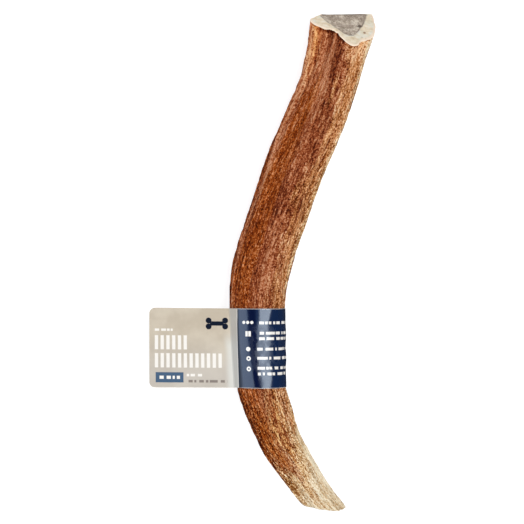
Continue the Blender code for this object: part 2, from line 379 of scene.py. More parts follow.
def second_derivatives(knots, rows):
    """What makes a piecewise cubic through the rows bend without a break."""
    step = np.diff(knots)
    slope = np.diff(rows, axis=0) / step[:, None]
    system = np.diag(2 * (step[:-1] + step[1:]))
    system += np.diag(step[1:-1], 1) + np.diag(step[1:-1], -1)
    bend = np.zeros_like(rows)
    bend[1:-1] = np.linalg.solve(system, 6 * np.diff(slope, axis=0))
    return bend


BEND = second_derivatives(KNOTS, ROWS)


def along(distance):
    """The fitted rows at distances down the antler, on a smooth curve through the stations."""
    left = np.clip(np.searchsorted(KNOTS, distance) - 1, 0, len(KNOTS) - 2)
    step = (KNOTS[left + 1] - KNOTS[left])[:, None]
    before = (distance - KNOTS[left])[:, None]
    after = step - before
    cubic = (BEND[left] * after**3 + BEND[left + 1] * before**3) / (6 * step)
    start = (ROWS[left] / step - BEND[left] * step / 6) * after
    end = (ROWS[left + 1] / step - BEND[left + 1] * step / 6) * before
    return cubic + start + end


def ripples(seed, count, around, wavelength):
    """Random waves on the skin: crests around it, crests per millimetre down it, and phase."""
    rng = np.random.default_rng(seed)
    crests = rng.integers(around[0], around[1] + 1, count)
    pitch = rng.uniform(1 / wavelength[1], 1 / wavelength[0], count) * rng.choice((-1, 1), count)
    return np.stack([crests, FULL_TURN * pitch, rng.uniform(0, FULL_TURN, count)], axis=1)


LUMPS = ripples(SEED, 7, around=(1, 3), wavelength=(60, 160))
RIDGES = ripples(SEED + 1, 12, around=(4, 8), wavelength=(90, 260))
RIBS = ripples(SEED + 2, 24, around=(9, 20), wavelength=(40, 160))
RIB_HEIGHT = 0.14
STREAKS = ripples(SEED + 3, 48, around=(22, 56), wavelength=(14, 60))
BEADS = ripples(SEED + 4, 48, around=(12, 34), wavelength=(3.5, 9))


def field(waves, distance, phi):
    """The sum of some waves on the skin, mostly between -2 and 2."""
    total = sum(np.cos(n * phi + k * distance + phase) for n, k, phase in waves)
    return total * math.sqrt(2 / len(waves))


def bump_at(phi, degrees, width):
    """1 at an angle round the antler, fading to 0 at about twice the width from it."""
    turned = np.angle(np.exp(1j * (phi - math.radians(degrees))))
    return np.exp(-((turned / np.radians(width)) ** 2))


def bump_across(distance, middle, width):
    """1 at a distance down the antler, fading to 0 at about twice the width from it."""
    return np.exp(-(((distance - middle) / width) ** 2))


def relief(distance, phi):
    """How far the skin stands out from the fitted outline."""
    ridges = field(RIDGES, distance, phi)
    grooves = np.exp(-((ridges / GROOVE_WIDTH) ** 2))
    lumps = field(LUMPS, distance, phi)
    broad = LUMP_HEIGHT * lumps + RIDGE_HEIGHT * ridges - GROOVE_DEPTH * grooves
    broad = broad * (1 - LABEL_EASE * bump_across(distance, LABEL_MIDDLE, 32))
    hollow = sum(depth * bump_at(phi, angle, width) for angle, width, depth in BUTT_HOLLOWS)
    return broad + RIB_HEIGHT * field(RIBS, distance, phi) - hollow * smooth(75, 22, distance)


def skin(distance, phi, fine=0):
    """Points of the antler's skin, at distances down it and angles round it (0 right, 90 up)."""
    x, y, across_scale, across_shift, up_scale, up_shift, ridge = along(distance).T
    heading = unit(along(distance + HEADING_STEP)[:, :2] - along(distance - HEADING_STEP)[:, :2])
    across, up = unit_outline(ridge, phi)
    out = relief(distance, phi) + fine
    sideways = across_shift + across_scale * across + out * np.cos(phi)
    height = np.maximum(up_shift + up_scale * up + out * np.sin(phi), 0)
    return np.stack([x - heading[:, 1] * sideways, y + heading[:, 0] * sideways, height], axis=1)


def past(points, cuts):
    """How far points are into the waste of any of the cuts."""
    return np.max([(points - cut.point) @ cut.normal for cut in cuts], axis=0)


def crossing(phi, cuts, inside, outside):
    """For each angle, the distance down the antler at which its line meets the cuts."""
    inside = np.full(len(phi), float(inside))
    outside = np.full(len(phi), float(outside))
    for _ in range(HALVINGS):
        middle = (inside + outside) / 2
        beyond = past(skin(middle, phi), cuts) > 0
        outside = np.where(beyond, middle, outside)
        inside = np.where(beyond, inside, middle)
    return inside


def arithmetic(operation):
    """A way to put a Math node on a socket and another value."""
    return lambda self, other: self.math(operation, self, other)


class Socket:
    """An output of a shader node. Arithmetic on it adds Math nodes."""

    def __init__(self, surface, output):
        self.surface = surface
        self.output = output

    def math(self, operation, *values):
        """A Math node on these values."""
        return self.surface.node("Math", {"operation": operation}, dict(enumerate(values)))

    __add__ = __radd__ = arithmetic("ADD")
    __mul__ = __rmul__ = arithmetic("MULTIPLY")
    __sub__ = arithmetic("SUBTRACT")
    __truediv__ = arithmetic("DIVIDE")
    __or__ = arithmetic("MAXIMUM")

    def __rsub__(self, other):
        return self.math("SUBTRACT", other, self)

    def __abs__(self):
        return self.math("ABSOLUTE", self)


class Surface:
    """A material, and the one way in which nodes are added to it."""

    def __init__(self, name):
        self.material = bpy.data.materials.new(name)
        self.material.use_nodes = True
        self.tree = self.material.node_tree
        self.tree.nodes.clear()

    def node(self, kind, settings, sockets, output=0):
        """A node of a kind, with its settings made first, then its sockets filled or linked."""
        made = self.tree.nodes.new("ShaderNode" + kind)
        for name, value in settings.items():
            if name == "stops":
                self.set_stops(made.color_ramp, value)
            else:
                setattr(made, name, value)
        for name, value in sockets.items():
            if isinstance(value, Socket):
                self.tree.links.new(value.output, made.inputs[name])
            else:
                made.inputs[name].default_value = paint(value)
        return None if output is None else Socket(self, made.outputs[output])

    @staticmethod
    def set_stops(ramp, stops):
        """Gives a colour ramp its stops, as positions and colours."""
        while len(ramp.elements) < len(stops):
            ramp.elements.new(0.5)
        for element, (position, colour) in zip(ramp.elements, stops):
            element.position = position
            element.color = paint(colour)

    def attribute(self, name, output="Fac"):
        """What the mesh says at each point."""
        return self.node("Attribute", {"attribute_name": name}, {}, output)

    def local(self):
        """The piece's own coordinates, in metres."""
        return self.node("TexCoord", {}, {}, "Object")

    def noise(self, where, scale, detail=2, roughness=0.6, distortion=0.0):
        """Soft noise, mostly between 0.3 and 0.7. Its scale is one number, or one along each axis."""
        if isinstance(scale, tuple):
            where, scale = self.node("Mapping", {}, {"Vector": where, "Scale": scale}), 1.0
        sockets = {"Vector": where, "Scale": scale, "Detail": detail}
        sockets |= {"Roughness": roughness, "Distortion": distortion}
        return self.node("TexNoise", {}, sockets)

    def step(self, value, low, high):
        """0 below low, 1 above high, and an even slope between them."""
        sockets = {"Value": value, "From Min": low, "From Max": high}
        return self.node("MapRange", {"interpolation_type": "SMOOTHSTEP"}, sockets)

    def mix(self, share, first, second, blend="MIX"):
        """Two colours mixed."""
        settings = {"data_type": "RGBA", "blend_type": blend}
        return self.node("Mix", settings, {0: share, 6: first, 7: second}, 2)

    def layered(self, colour, *layers):
        """A colour with others laid over it in turn, each with its share."""
        for share, above in layers:
            colour = self.mix(share, colour, above)
        return colour

    def ramp(self, value, *stops):
        """A colour read off a ramp."""
        return self.node("ValToRGB", {"stops": stops}, {"Fac": value})

    def finish(self, height=None, depth=0.0, **sockets):
        """Closes the material with its shader, bumped by a height of so many millimetres."""
        named = {name.replace("_", " ").title().replace("Ior", "IOR"): v for name, v in sockets.items()}
        if height is not None:
            bump = {"Height": height, "Distance": depth * MM, "Strength": 1.0}
            named["Normal"] = self.node("Bump", {}, bump)
        shader = self.node("BsdfPrincipled", {}, named)
        self.node("OutputMaterial", {}, {"Surface": shader}, None)
        return self.material


# The skin's orange, red, golden, worn and cream colours from a groove's bottom to a rubbed crest:
# the tones, then the colours there or the settings that hold them.
SKIN_COLOURS = (
    ((0.10, 0.32, 0.50, 0.70, 0.90), ("3a0e00", "6c2402", "orange_colour", "b66632", "d69468")),
    ((0.10, 0.32, 0.50, 0.70, 0.90), ("groove_colour", "66240c", "red_colour", "ae6842", "tan_colour")),
    ((0.08, 0.30, 0.50, 0.70, 0.92), ("5c2606", "8c4e1e", "gold_colour", "dca06c", "f2cca0")),
    ((0.06, 0.30, 0.50, 0.70, 0.92), ("6c3408", "9e6628", "worn_colour", "ecc894", "fae2bc")),
    ((0.10, 0.34, 0.55, 0.80), ("8e6438", "c8a678", "e6d2b0", "f2e6cc")),
)


def skin_finish(settings):
    """The antler's skin: red brown and gold, streaked and speckled, and worn pale at the tip."""
    s = Surface("antler_skin")
    grain = s.attribute("grain", "Vector")
    pale = s.attribute("paleness")
    hue = s.attribute("hue")

    def patches(across, down, **options):
        """Noise about 0, its scale given round the antler and down it."""
        return s.noise(grain, (across, across, down), **options) - 0.5

    broad = patches(0.13, 0.03, roughness=0.5)
    streak = patches(0.45, 0.05, detail=3, distortion=0.8)
    strand = patches(1.1, 0.12, distortion=0.6)
    thread = patches(1.3, 0.45, distortion=0.6)
    speck = patches(1.7, 1.1, distortion=0.4)
    mottle = patches(0.6, 0.28, distortion=0.5)
    tint = patches(0.4, 0.045)
    crack = s.step(abs(patches(0.3, 0.03, detail=3, distortion=0.8)), 0.02, 0.0)
    stain = s.step(patches(0.22, 0.1), 0.08, 0.22)
    # How pale the skin is, where it is worn and where its right edge has a painted highlight: at all,
    # to tan, and to cream.
    wear_and_highlight_any = s.step(pale, 0, 0.12)
    wear_and_highlight_tan = s.step(pale, 0.5, 1.4)
    wear_and_highlight_cream = s.step(pale, 1.3, 2.2)
    spots = speck * (1.75 + wear_and_highlight_any * 0.9 - wear_and_highlight_tan * 0.6 - wear_and_highlight_cream * 0.9)
    strands = strand * (0.7 + wear_and_highlight_any * 0.5 - wear_and_highlight_tan * 0.5 - wear_and_highlight_cream * 0.3) + streak * (0.75 - wear_and_highlight_tan * 0.35)
    blotches = mottle * (0.35 + wear_and_highlight_any * 0.8 - wear_and_highlight_tan * 0.4 - wear_and_highlight_cream * 0.4)
    # How light it is, from the bottom of a groove (0) to a rubbed crest (1).
    tone = 0.5 + broad * 0.3 + strands + thread * (0.7 - wear_and_highlight_tan * 0.2) + spots + blotches
    # The rise carries the painted shadow under the butt's saw cut, and the lightness some painted
    # highlights and shade along the edges.
    tone = tone + s.attribute("rise") * 0.05 + s.attribute("lightness") - crack * 0.12 - stain * 0.14
    orange, red, golden, worn, cream = (
        s.ramp(tone, *zip(tones, [getattr(settings, colour, colour) for colour in colours]))
        for tones, colours in SKIN_COLOURS
    )
    uneven = streak * 1.1 + thread * 0.6 + speck * 1.2 + broad * 1.2
    shade = hue + tint * 2.2 + speck * 0.9 + strand * 0.8
    colour = s.layered(red, (s.step(shade, -0.1, -0.9), orange), (s.step(shade, 0.1, 0.9), golden))
    # Two warm tints: where the brown wears to tan on the left, and beside the butt's left edge.
    flush = s.step(pale, 0.02, 0.3) * s.step(pale, 1.2, 0.7) * s.step(hue, 0.8, 0.1)
    colour = s.mix(flush, colour, "fffcd4", "MULTIPLY")
    colour = s.mix(s.attribute("warmth"), colour, "ffe8c4", "MULTIPLY")
    # Paler where the skin is worn, and along the painted highlight down its right edge.
    lightened = s.step(pale + uneven, 0.4, 1.2)
    colour = s.layered(colour, (lightened, worn), (s.step(pale + uneven * 0.8, 0.9, 2.1), cream))
    return s.finish(
        streak * 0.5 + strand * 0.4 + thread * 0.4 + speck * 0.6 - crack * 0.25,
        0.45,
        base_color=colour,
        roughness=0.42 - (tone - 0.5) * 0.2,
        specular_ior_level=0.07,
        specular_tint=(1.0, 0.7, 0.45, 1.0),
    )


def sawn_finish(settings):
    """A sawn end: cream cortex with saw marks round a grey marrow full of pores."""
    s = Surface("sawn_end")
    where = s.local()
    core = s.attribute("core")
    rim = s.attribute("rise")
    cloud = s.noise(where, 160, 3)
    grit = s.noise(where, 1100, 3, 0.65)
    blotch = s.noise(where, 330)
    pores = s.node("TexVoronoi", {}, {"Vector": where, "Scale": 900.0, "Randomness": 1.0}, "Distance")
    saw_marks = s.noise(where, (60, 900, 900))
    marrow = s.step(core + (cloud - 0.5) * 2.4 + (grit - 0.5) * 1.6, -0.4, 0.5)
    cortex = s.ramp(
        blotch * 0.5 + cloud * 0.3 + saw_marks * 0.2,
        (0.34, "d8bf96"),
        (0.50, settings.cream_colour),
        (0.62, "fdf4e6"),
    )
    # The cortex is greyer in places, and warmer and lighter along its outer edge: the warm outermost
    # cortex, with a painted highlight on its rounded edge.
    edge = s.step(rim + (blotch - 0.5) * 0.1, 0.95, 0.98)
    cortex = s.layered(cortex, (s.step(cloud, 0.48, 0.60) * 0.35, "dcdac4"), (edge * 0.75, "ffe6cc"))
    sponge = s.ramp(
        0.5 + (cloud - 0.5) * 0.7 + (grit - 0.5) * 0.9 + (blotch - 0.5) * 0.5,
        (0.24, "6a5c4e"),
        (0.42, "a39180"),
        (0.56, settings.marrow_colour),
        (0.74, "e6dac8"),
    )
    # A broken dark line runs round the marrow.
    border = s.step(abs(core - 0.25), 0.45, 0.1) * s.step(blotch, 0.38, 0.52)
    sponge = s.mix(border * 0.6, sponge, "5e4c3e")
    for x, z, size, share in BUTT_SPOTS:
        y = BUTT_CUTS[0].height(x, z)
        centre = Vector((np.array((x, y, z)) + SHIFT) * MM)
        away = s.node("VectorMath", {"operation": "DISTANCE"}, {0: where, 1: centre}, "Value")
        spot = s.step(away / MM + (grit - 0.5) * 1.5, size, size * 0.3) * share
        cortex = s.mix(spot, cortex, "8a5424")
        sponge = s.mix(spot, sponge, "4a3c30")
    # Painted shade: the marrow is darker on the square cut behind the crease, which lies in shade.
    crease = (BUTT_CREASE[1] + SHIFT[1]) * MM
    along_y = s.node("SeparateXYZ", {}, {"Vector": where}, "Y")
    behind = s.step(along_y, crease - 1.2 * MM, crease) * marrow
    colour = s.layered(cortex, (marrow, sponge), (behind * 0.5, "5c4c40"))
    height = marrow * (pores * 0.9 + grit * 0.6) + saw_marks * 0.25
    roughness = 0.5 + marrow * 0.3
    return s.finish(height, 0.4, base_color=colour, roughness=roughness, specular_ior_level=0.3)


def paper_finish(settings):
    """The paper's cut edges and unprinted side."""
    s = Surface("paper_core")
    fibre = s.noise(s.local(), 2500)
    colour = s.ramp(fibre, (0.3, "ded6ca"), (0.7, settings.white))
    return s.finish(fibre, 0.02, base_color=colour, roughness=0.8)


def together(marks):
    """Several marks as one."""
    return reduce(lambda total, mark: total | mark, marks)


class Print(Surface):
    """The label's material. Its marks are placed in millimetres along the strip (u) and down it (v)."""

    def __init__(self, name):
        super().__init__(name)
        uv = self.node("UVMap", {"uv_map": "print"}, {})
        scale = {0: uv, 1: (STRIP_LENGTH, LABEL_HEIGHT, 0)}
        self.where = self.node("VectorMath", {"operation": "MULTIPLY"}, scale)
        self.u = self.node("SeparateXYZ", {}, {"Vector": self.where}, "X")
        self.v = self.node("SeparateXYZ", {}, {"Vector": self.where}, "Y")

    def band(self, value, low, high):
        """1 between two places, and 0 beyond them."""
        half = (high - low) / 2
        return self.step(abs(value - (low + high) / 2), half + PRINT_BLUR, half - PRINT_BLUR)

    def block(self, left, right, top, bottom):
        """A plain rectangle."""
        return self.band(self.u, left, right) * self.band(self.v, top, bottom)

    def disc(self, across, down, radius):
        """A plain round dot."""
        centre = {0: self.where, 1: (across, down, 0)}
        away = self.node("VectorMath", {"operation": "DISTANCE"}, centre, "Value")
        return self.step(away, radius + PRINT_BLUR, radius - PRINT_BLUR)

    def words(self, left, right, middle, height):
        """A row of dashes, uneven as words are."""
        gaps = {"W": self.u * 0.55 + middle * 7.3, "Scale": 1.0, "Detail": 0.0}
        dashes = self.node("TexNoise", {"noise_dimensions": "1D"}, gaps)
        row = self.block(left, right, middle - height / 2, middle + height / 2)
        return row * self.step(dashes, 0.40, 0.44)

    def pickets(self, left, count, top, bottom):
        """A row of upright bars."""
        starts = [left + i * BAR_PITCH for i in range(count)]
        return together([self.block(start, start + BAR_WIDTH, top, bottom) for start in starts])


def flag_colour(s, settings):
    """The beige flag and its back: the paper, with painted shade in and past the fold and a painted
    sheen beside it, and the print.
    """
    cloud = s.noise(s.local(), 70, 3, 0.55)
    past_fold = s.u - s.v * FOLD_LEAN - FOLD_START
    # Painted shade: a dark line in the fold, and the strip past it darker where it turns away from the
    # light.
    shade = s.step(abs(past_fold), 0.5, 0.0) * 0.5 | s.step(past_fold, -0.2, 0.6) * 0.68
    # Painted sheen: a pale band on the flag beside the fold.
    lightened = s.step(past_fold + cloud * 3, -3.2, 0.2) * s.step(s.v, 10, 20)
    knobs = [s.disc(across, down, 1.5) for across in BONE_ENDS for down in (6.2, 9.2)]
    bone = [s.block(31.2, 38.4, 6.6, 8.8), *knobs]
    back = [s.words(BACK_START, BACK_START + length, down, 1.2) for length, down in BACK_LINES]
    titles = [s.pickets(3.0, 6, 13.8, 21.0), s.pickets(3.0, 12, 22.9, 30.2)]
    notes = [s.words(3.0, 12.2, 11.0, 1.2), s.words(19.0, 28.0, 34.0, 1.3)]
    return s.layered(
        settings.beige,
        (s.step(cloud, 0.35, 0.65), "c2b39d"),
        (s.step(s.v, 10, 36) * 0.45, "c4beb8"),
        (lightened * 0.55, "e2e2da"),
        (shade, "8d8272"),
        (s.words(19.4, 40.0, 37.1, 1.3) * 0.75, "6d5f58"),
        (together(bone + back), settings.ink),
        (s.block(3.4, 17.6, 32.6, 37.8), settings.badge),
        (together(titles + notes) * 0.92 | s.words(5.4, 15.8, 35.2, 1.6), settings.white),
    )


def navy_colour(s, settings):
    """The navy band: darker in its middle, a painted shade between two reflections, with lines of
    dashes and a column of plain signs.
    """
    lines = together([s.words(57.1, 92.0, middle, 1.4) for middle in NAVY_LINES])
    dots = [s.disc(across, 6.9, 0.8) for across in (50.2, 52.3, 54.4)]
    dots.append(s.disc(SIGN_MIDDLE, 20.3, 1.1))
    rings = [s.disc(SIGN_MIDDLE, down, 1.2) for down in RING_PLACES]
    holes = [s.disc(SIGN_MIDDLE, down, 0.5) for down in RING_PLACES]
    slit = s.block(52.3, 52.6, 11.3, 13.9)
    signs = together([s.block(51.1, 53.9, 11.3, 13.9), *dots, *rings]) - together([slit, *holes])
    # Painted shade: the navy is darker down its middle, between the two reflections.
    painted_shade = s.step(abs(s.u - s.v * NAVY_LEAN - 54.1), 2.8, 1.0)
    half = LABEL_HEIGHT / 2
    edges = s.step(abs(s.v - half), half - 0.32, half - 0.18)
    return s.layered(
        settings.navy,
        (painted_shade, "000c30"),
        (lines * 0.92 | signs, settings.white),
        (edges * 0.5, settings.white),
    )


def print_finish(settings):
    """Glossy coated paper: a beige flag and a navy band, with bars and dots for print."""
    s = Print("label_print")
    # The navy starts in the dark of the fold. Its middle is handled, so its gloss is softer there.
    crease = s.step((s.u - NAVY_START) / (s.v * NAVY_LEAN + 1), 1.0, 0.1)
    crease = crease * s.step(s.u, NAVY_START - PRINT_BLUR, NAVY_START + PRINT_BLUR)
    fingered = s.step(s.noise(s.local(), (420, 260, 420)), 0.35, 0.6)
    handled = s.step(abs(s.v - 20), 14, 8) * s.step(s.u, 50, 56) * fingered
    colour = s.layered(
        flag_colour(s, settings),
        (s.band(s.u, NAVY_START, NAVY_END), navy_colour(s, settings)),
        (s.band(s.u, NAVY_START - 0.5, NAVY_START) * 0.3, settings.white),
        (crease * 0.7, "05070e"),
    )
    return s.finish(
        s.noise(s.local(), (220, 60, 220)),
        0.08,
        base_color=colour,
        roughness=0.17 + crease * 0.6 + handled * 0.22,
        ior=1.66,
        specular_tint=(0.84, 0.93, 1.0, 1.0),
    )


def deselect_all():
    """Nothing selected, so that an operator acts on the new piece alone."""
    for other in bpy.context.selected_objects:
        other.select_set(False)


def new_piece(name):
    """The primitive that was just added, under its name."""
    piece = bpy.context.active_object
    piece.name = piece.data.name = name
    return piece


def numbers(items, field_name, width):
    """Numbers read off a mesh's vertices or loops."""
    values = np.empty(len(items) * width, dtype=np.float32)
    items.foreach_get(field_name, values)
    return values.reshape(-1, width) if width > 1 else values


def place(piece, points):
    """Moves a mesh's vertices to points in millimetres."""
    piece.data.vertices.foreach_set("co", ((points + SHIFT) * MM).astype(np.float32).ravel())
    piece.data.update()


def remember(piece, name, values):
    """Keeps a number or a vector at each vertex, for the materials."""
    kind, key = ("FLOAT_VECTOR", "vector") if values.ndim == 2 else ("FLOAT", "value")
    made = piece.data.attributes.new(name, kind, "POINT")
    made.data.foreach_set(key, values.astype(np.float32).ravel())


# How finely the antler is modelled.
AROUND = 288
BUTT_RINGS = 36
TIP_RINGS = 10
CORNER_RINGS = 5
BODY_RINGS = 286
GRAIN_RADIUS = 14.0
TIP_MARROW = 0.45  # as a share of the tip's radius
NO_MARROW = -9.0
# Painted shadow: the skin just under the butt's saw cut is painted this much darker.
RIM_SHADE = 9.0  # how much deeper the skin looks just under the saw cut
SKIN_SINK = 0.15  # how far the skin is set back, so that its crests keep to the outline
WELD = 1e-6


def ring(points, distance, core=NO_MARROW, rise=0.0, sawn=0.0):
    """One ring of the mesh: its points and what the materials know of it, as seven rows."""
    rest = [np.broadcast_to(value, len(points)) for value in (distance, core, rise, sawn)]
    return np.vstack([points.T, *rest])


def inside_marrow(points):
    """How far points of the butt's cut are inside the marrow's outline."""
    corners = np.array(MARROW)
    sides = np.roll(corners, -1, axis=0) - corners
    inwards = unit(np.stack([sides[:, 1], -sides[:, 0]], axis=1))
    offsets = points[..., None, [0, 2]] - corners
    return np.min(np.sum(offsets * inwards, axis=-1), axis=-1)


def fine_relief(settings, distance, phi):
    """The skin's small streaks and beads: their height, and how crested each place is."""
    streaks = field(STREAKS, distance, phi)
    beads = field(BEADS, distance, phi)
    grooves = np.exp(-((streaks / 0.4) ** 2))
    rise = 0.5 * streaks + 0.5 * beads - 0.8 * grooves
    height = settings.streak_height * (streaks - grooves) + settings.bead_height * beads
    return height / MM - SKIN_SINK, rise


def antler_rings(settings, phi):
    """Rings laid over the butt's face, down the beam and over the tip's face."""
    butt = crossing(phi, BUTT_CUTS, LENGTH / 2, 0)
    tip = crossing(phi, TIP_CUTS, LENGTH / 2, LENGTH)
    rounding = np.full(AROUND, BUTT_ROUNDING)
    rings = sawn_end(settings, phi, BUTT_CUTS, np.array(BUTT_CREASE), butt, rounding, BUTT_RINGS)
    worn = TIP_ROUNDING * (1 - TIP_ROUNDING_LEAN * np.cos(phi))
    first, last = butt + BUTT_ROUNDING, tip - worn
    for share in np.linspace(0, 1, BODY_RINGS):
        distance = first + (last - first) * share
        fine, rise = fine_relief(settings, distance, phi)
        fading = smooth(0, 3, distance - butt) * smooth(0, 4, tip - distance)
        # Painted shadow: the skin just under the butt's saw cut is made darker through its rise.
        rise = rise - RIM_SHADE * smooth(2.4, 0.6, distance - butt) * (0.2 + bump_at(phi, 112, 40))
        rings.append(ring(skin(distance, phi, fine * fading), distance, rise=rise))
    centre = skin(tip, phi).mean(axis=0)
    return rings + sawn_end(settings, phi, TIP_CUTS, centre, tip, -worn, TIP_RINGS)[::-1]


def sawn_end(settings, phi, cuts, centre, rim, rounding, face_rings):
    """Rings from the middle of a sawn face out over its rounded edge onto the skin."""
    corner = skin(rim, phi)
    reach = np.linalg.norm(corner - centre, axis=1)[:, None]
    edge = corner + (centre - corner) * np.abs(rounding)[:, None] / reach
    start = skin(rim + rounding, phi)
    rings = []
    for share in np.arange(face_rings) / face_rings:
        points = centre + (edge - centre) * share
        core = inside_marrow(points) if rounding[0] > 0 else (TIP_MARROW - share) * reach[:, 0]
        nearest = np.argmax([(points - cut.point) @ cut.normal for cut in cuts], axis=0)
        normals = np.array([cut.normal for cut in cuts])[nearest]
        points = points - settings.torn / MM * smooth(-0.2, 0.7, core)[:, None] * normals
        rings.append(ring(points, rim, core=core, rise=share, sawn=1))
    for t in np.arange(CORNER_RINGS) / CORNER_RINGS:
        points = (1 - t) ** 2 * edge + 2 * t * (1 - t) * corner + t**2 * start
        rings.append(ring(points, rim + rounding * t, rise=1, sawn=float(rounding[0] > 0)))
    return rings


def rolled_grid(name, columns, rows):
    """A flat grid to be rolled up, and the column and row of each of its vertices."""
    deselect_all()
    bpy.ops.mesh.primitive_grid_add(x_subdivisions=columns, y_subdivisions=rows, size=2)
    piece = new_piece(name)
    flat = numbers(piece.data.vertices, "co", 3)
    column = np.round((flat[:, 0] + 1) / 2 * columns).astype(int)
    row = np.round((1 - flat[:, 1]) / 2 * rows).astype(int)
    return piece, column, row


def build_antler(settings):
    """A grid rolled round the beam and closed over its sawn ends."""
    phi = FULL_TURN * np.arange(AROUND) / AROUND
    rings = np.array(antler_rings(settings, phi))
    piece, column, row = rolled_grid("sawn_antler", AROUND, len(rings) - 1)
    turn = -column % AROUND
    x, y, z, down, core, rise, sawn = rings[row, :, turn].T
    points = np.clip(np.stack([x, y, z], axis=1) + SHIFT, *ANTLER_BOX) - SHIFT
    place(piece, points)
    angle = phi[turn]
    grain = np.stack([GRAIN_RADIUS * np.cos(angle), GRAIN_RADIUS * np.sin(angle), down], axis=1)
    for name, values in (("grain", grain), ("core", core), ("rise", rise)):
        remember(piece, name, values)
    for look in (paleness, hue, lightness, warmth):
        remember(piece, look.__name__, look(down, angle))
    for finish in (skin_finish(settings), sawn_finish(settings)):
        piece.data.materials.append(finish)
    faces = [int(max(sawn[v] for v in face.vertices)) for face in piece.data.polygons]
    piece.data.polygons.foreach_set("material_index", faces)
    bpy.ops.object.mode_set(mode="EDIT")
    bpy.ops.mesh.select_all(action="SELECT")
    bpy.ops.mesh.remove_doubles(threshold=WELD)
    bpy.ops.object.mode_set(mode="OBJECT")
    bpy.ops.object.shade_smooth_by_angle(angle=math.radians(40))
    return piece


def paleness(distance, phi):
    """Where the skin is pale, tan (1) and then cream (2): worn at the tip, and down the right edge
    paler skin with a painted highlight.
    """
    towards = distance + 5 * np.cos(phi) - 10 * bump_at(phi, 98, 26)
    tip = 0.35 * smooth(184, 230, towards) + 0.65 * smooth(228, 250, towards)
    tip = tip + smooth(242, 272, towards)
    # Down the right edge: paler skin, and a painted highlight where the light falls on it.
    right = bump_at(phi, 6, 14 + 12 * smooth(222, 244, distance))
    right = np.maximum(right, 0.6 * bump_at(phi, -12, 22))
    covered = bump_across(distance, LABEL_MIDDLE, 36)
    right = right * (1.4 + 5.2 * smooth(228, 248, distance) - 0.9 * covered)
    return np.maximum(tip, right)


def hue(distance, phi):
    """Where the skin is golden (1, down the right, by the butt and near the tip), red (0) or
    orange (-1, down the left)."""
    right = smooth(math.radians(78), math.radians(8), np.abs(phi - math.radians(12)))
    butt = 0.55 * bump_at(phi, 160, 14 + 16 * smooth(20, 34, distance)) * smooth(80, 30, distance)
    corner = 0.7 * bump_at(phi, 50, 18) * smooth(40, 20, distance)
    near_tip = 0.35 * bump_at(phi, 92, 30) * smooth(202, 216, distance)
    left = smooth(90, 120, np.degrees(phi)) * smooth(250, 210, np.degrees(phi))
    left = left * (1 - 0.8 * bump_at(phi, 163, 11) * smooth(210, 190, distance))
    return np.maximum.reduce([right, butt, corner, near_tip]) - left * smooth(16, 62, distance)


def lightness(distance, phi):
    """How much lighter the skin is than its middle tone."""
    total = 0.05 * smooth(110, 60, distance) - 0.03
    for angle, width, start, end, amount in TONE_STREAKS:
        fade_in = smooth(start - STREAK_FADE_IN, start + STREAK_FADE_IN, distance)
        reach = fade_in * smooth(end + STREAK_FADE_OUT, end - STREAK_FADE_OUT, distance)
        total = total + amount * bump_at(phi, angle, width) * reach
    return total


def warmth(distance, phi):
    """How much warmer the skin is: beside the butt's left edge."""
    return bump_at(phi, 158, 14) * smooth(60, 24, distance)


# How finely the label is modelled.
CORNER_ROWS = 9
MIDDLE_ROWS = 44
FLAG_COLUMNS = 70
LOOP_COLUMNS = 200
LOOP_SAMPLES = 240
LOOP_SMOOTHINGS = 30


def label_levels():
    """Distances from the label's top edge to its rows, closer together by its rounded corners."""
    quarter = np.linspace(0, math.pi / 2, CORNER_ROWS)
    corner = FLAG_RADIUS * (1 - np.cos(quarter))
    middle = np.linspace(FLAG_RADIUS, LABEL_HEIGHT - FLAG_RADIUS, MIDDLE_ROWS)
    return np.concatenate([corner[:-1], middle, LABEL_HEIGHT - corner[-2::-1]])


PLY_GAP = 0.06  # from the middle of the flag to each of its plies
FLAG_BOW = 0.35  # how far the flag bows up along its middle, at the top edge
FLAG_TWIST = 2.2  # how far the bow turns over on the way to the bottom edge, in radians
WAVE_COUNT = 3
WAVE_PITCH = 0.19


def antler_outline(y):
    """Where the antler's skin meets the upright plane at y, as x and z, with room to spare."""
    phi = FULL_TURN * np.arange(LOOP_SAMPLES) / LOOP_SAMPLES
    plane = (Cut(np.array((0, y, 0)), np.array((0, -1, 0))),)
    outline = skin(crossing(phi, plane, 0, LENGTH), phi)[:, [0, 2]]
    return outline + LABEL_GAP * unit(outline - outline.mean(axis=0))


def lengths(path):
    """How far each point of a path is along it."""
    return np.concatenate([[0], np.cumsum(np.linalg.norm(np.diff(path, axis=0), axis=1))])


def outwards(path):
    """The direction square to a path at each of its points, away from the antler."""
    way = np.gradient(path, axis=0)
    return unit(np.stack([-way[:, 1], way[:, 0]], axis=1))


def resampled(path, count):
    """A path as a number of evenly spaced points."""
    wanted = np.linspace(0, lengths(path)[-1], count)
    return np.stack([np.interp(wanted, lengths(path), path[:, axis]) for axis in (0, 1)], axis=1)


# Where the paper stands off the antler, at the label's top edge and its bottom edge: the middle
# and half the length, along the loop from the fold, and the height. Last, how much that waves.
BULGES = (
    ((10.0, 10.0, 1.0), (10.0, 10.0, 0.5), 0.0),
    ((25.5, 7.5, 0.2), (22.5, 9.0, 0.5), 0.3),
)
BULGE_WAVES = 2.25
EDGE_OUTLINES = [antler_outline(y) for y in (LABEL_TOP, LABEL_TOP - LABEL_HEIGHT)]


